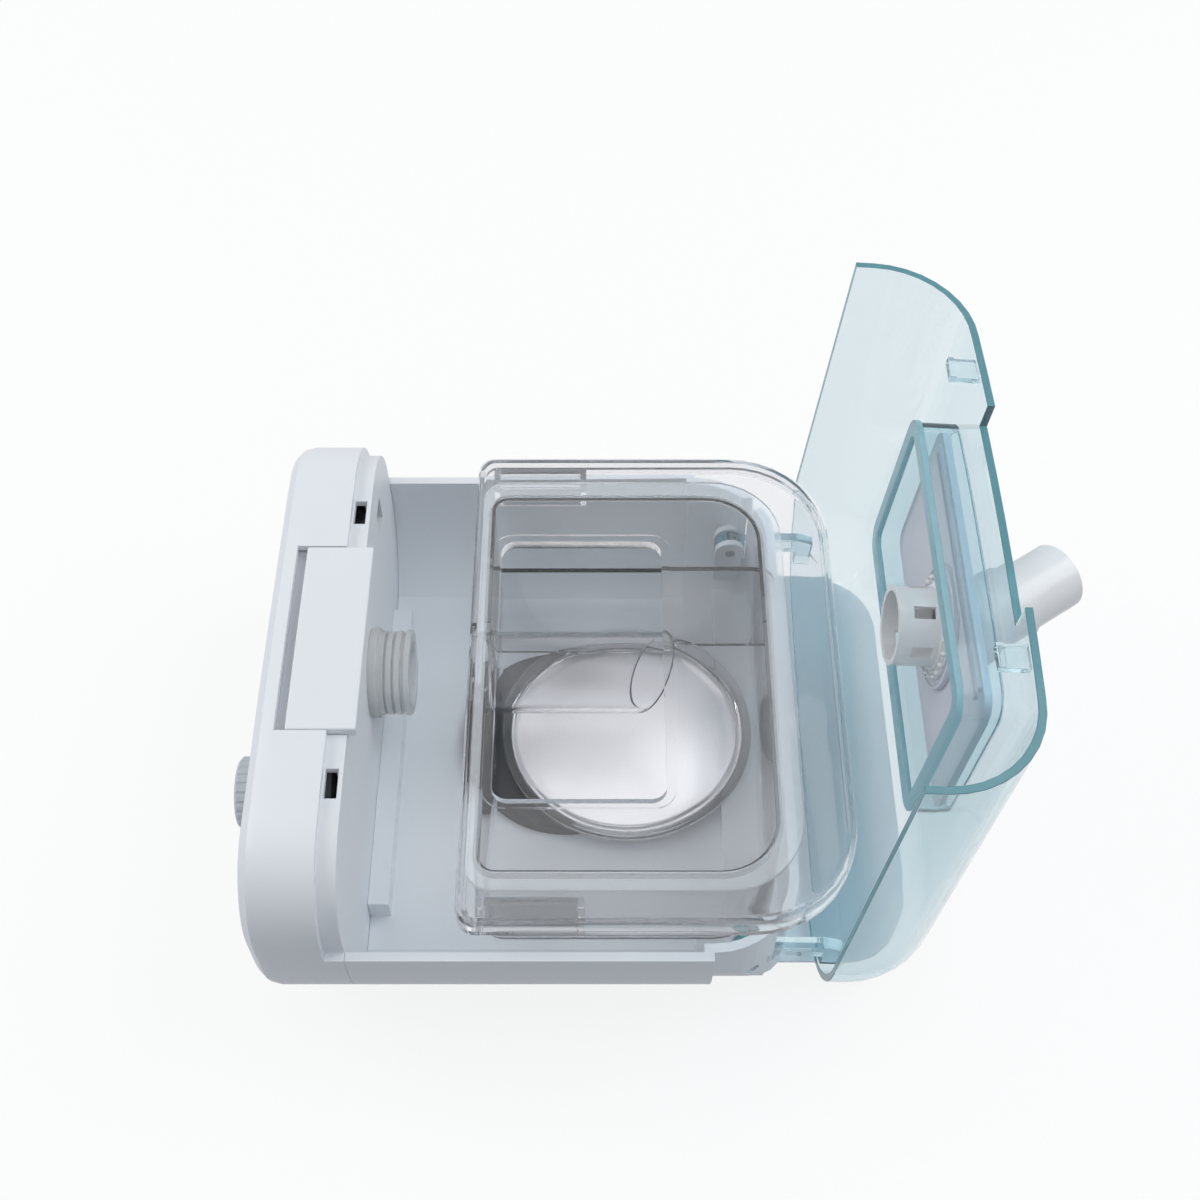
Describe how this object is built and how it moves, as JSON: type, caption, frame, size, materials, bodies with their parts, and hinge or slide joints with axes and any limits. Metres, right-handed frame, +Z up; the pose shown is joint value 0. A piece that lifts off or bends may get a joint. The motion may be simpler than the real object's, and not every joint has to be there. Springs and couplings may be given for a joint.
{
  "type": "cpap machine",
  "caption": "Bedside breathing machine with a heated water tank pulled out of its tray, a slim blower block, and an open see-through lid that carries the hose outlet.",
  "frame": {"origin": "on the table, under the middle of the machine as it stands with its lid open", "axes": "+X from the blower block to the lid's hinge end, +Y across to the intake filter's side, +Z up"},
  "size_m": [0.2703, 0.19, 0.1675],
  "materials": {
    "white_abs": "satin, lightly grained injection-moulded ABS",
    "grey_abs": "plain moulded ABS of the inner pieces",
    "panel_white": "smooth satin control panel",
    "clear_polycarbonate": "clear, glossy moulded polycarbonate",
    "tinted_polycarbonate": "clear blue-green tinted glossy polycarbonate",
    "white_gloss": "smooth white moulded polypropylene",
    "clear_silicone": "translucent moulded silicone",
    "grey_silicone": "grey moulded silicone",
    "seal_panel": "grey satin panel of the seal box",
    "rubber_foot": "dark moulded rubber",
    "black_anodised": "black anodised, fine blasted aluminium plate",
    "pressed_steel": "bright pressed stainless steel, faint round brushing",
    "zinc_steel": "zinc plated turned steel",
    "heater_foil": "etched resistance foil",
    "dark_plastic": "dark moulded nylon",
    "smoked_acrylic": "smoked acrylic window",
    "circuit_board": "soldermask on glass fibre board",
    "grey_foam": "open-cell acoustic foam",
    "filter_fleece": "white needled filter fleece"
  },
  "bodies": {
    "base": {"base_tub": "white_abs", "base_plate": "white_abs", "feet": "rubber_foot", "base_screws": "zinc_steel", "hinge_pins": "zinc_steel", "heater_plate": "black_anodised", "heater_element": "heater_foil", "port_seal": "clear_silicone", "front_housing": "white_abs", "housing_screws": "zinc_steel", "front_panel": "panel_white", "display_window": "smoked_acrylic", "display_module": "dark_plastic", "control_board": "circuit_board", "key_mat": "grey_silicone", "encoder": "dark_plastic", "blower_volute": "grey_abs", "blower_cover": "grey_abs", "blower_mounts": "grey_silicone", "blower_motor": "zinc_steel", "air_duct": "grey_abs", "silencer_foam": "grey_foam", "inlet_filter": "filter_fleece", "power_socket": "dark_plastic", "latch_springs": "zinc_steel"},
    "lid": {"lid_shell": "tinted_polycarbonate", "lid_seal_box": "tinted_polycarbonate", "lid_seal": "clear_silicone", "lid_panel": "seal_panel", "lid_clips": "tinted_polycarbonate", "outlet_cage": "white_gloss", "cage_ring": "seal_panel"},
    "outlet": {"outlet_connector": "white_gloss", "outlet_retainer": "grey_abs"},
    "tank": {"tank_body": "clear_polycarbonate", "tank_cover": "clear_polycarbonate", "tank_gasket": "clear_silicone", "tank_tube": "clear_polycarbonate", "tank_disc": "pressed_steel", "disc_ring": "clear_polycarbonate", "tank_grips": "clear_polycarbonate"},
    "latch": {"latch_plate": "white_abs", "latch_bar": "grey_abs"},
    "power_button": {"power_key": "grey_abs"},
    "menu_button": {"menu_key": "grey_abs"},
    "ramp_button": {"ramp_key": "grey_abs"},
    "knob": {"control_knob": "grey_abs"},
    "fan": {"impeller": "grey_abs"},
    "filter_door": {"filter_cover": "white_abs"}
  },
  "joints": [
    {"name": "lid_hinge", "type": "hinge", "parent": "base", "child": "lid", "pos_m": [0.0316, 0, 0.0375], "axis": [0, 1, 0], "range_deg": [-94.3, 0]},
    {"name": "tank_slide", "type": "slide", "parent": "base", "child": "tank", "axis": [1, 0, 0], "range_m": [-0.02, 0]},
    {"name": "outlet_swivel", "type": "hinge", "parent": "lid", "child": "outlet", "pos_m": [0.09693, -0.006, 0.1094], "axis": [0.9972, 0, -0.075], "range_deg": [-90, 90]},
    {"name": "latch_slide", "type": "slide", "parent": "base", "child": "latch", "axis": [1, 0, 0], "range_m": [-0.003, 0], "stiffness_N_per_m": 800, "springref_m": 0.001, "deforming": ["latch_springs"]},
    {"name": "power_press", "type": "slide", "parent": "base", "child": "power_button", "axis": [1, 0, 0], "range_m": [0, 0.001], "stiffness_N_per_m": 600, "springref_m": -0.0005},
    {"name": "menu_press", "type": "slide", "parent": "base", "child": "menu_button", "axis": [1, 0, 0], "range_m": [0, 0.001], "stiffness_N_per_m": 600, "springref_m": -0.0005},
    {"name": "ramp_press", "type": "slide", "parent": "base", "child": "ramp_button", "axis": [1, 0, 0], "range_m": [0, 0.001], "stiffness_N_per_m": 600, "springref_m": -0.0005},
    {"name": "knob_turn", "type": "hinge", "parent": "base", "child": "knob", "pos_m": [-0.129, -0.034, 0.054], "axis": [1, 0, 0], "continuous": true},
    {"name": "fan_spin", "type": "hinge", "parent": "base", "child": "fan", "pos_m": [-0.107, -0.036, 0.052], "axis": [1, 0, 0], "continuous": true},
    {"name": "filter_pull", "type": "slide", "parent": "base", "child": "filter_door", "axis": [0, 1, 0], "range_m": [0, 0.012]}
  ],
  "couplings": [
    {"joint": "tank_slide", "follows": "lid_hinge", "m_per_rad": 0.012152}
  ]
}
